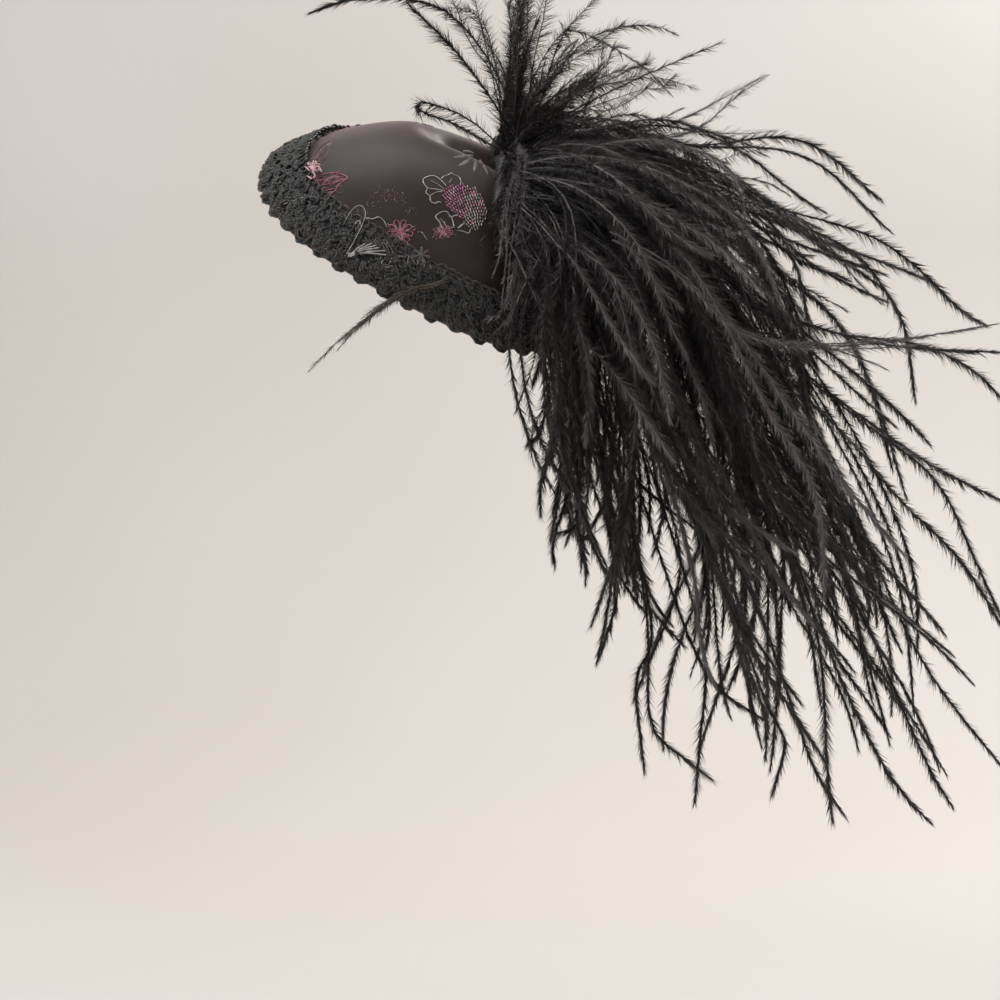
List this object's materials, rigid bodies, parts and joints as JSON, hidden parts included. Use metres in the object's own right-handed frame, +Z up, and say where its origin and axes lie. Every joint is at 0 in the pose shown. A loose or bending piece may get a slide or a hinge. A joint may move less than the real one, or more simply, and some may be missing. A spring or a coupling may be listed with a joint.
{
  "type": "feather fascinator",
  "caption": "Fascinator with a covered teardrop crown, a braided scalloped edge, a hair comb under it and long black ostrich flues that rise and fall from its back.",
  "frame": {"origin": "the point of the head's surface under the middle of the crown", "axes": "+Z up, +X to the back of the wearer's head, +Y to the wearer's right; the wearer faces -X and the crown leans over the left side"},
  "size_m": [0.2783, 0.1518, 0.3388],
  "materials": {
    "brocade_satin": "dark brown-black satin with woven pink and silver flowers",
    "gimp_braid": "black looped cord",
    "comb_plastic": "smooth black",
    "black_feather": "black ostrich feather"
  },
  "bodies": {
    "root": {"crown": "brocade_satin", "edge_trim": "gimp_braid", "hair_comb": "comb_plastic", "crest_plume": "black_feather", "rear_plume": "black_feather", "side_plume": "black_feather"}
  },
  "joints": []
}
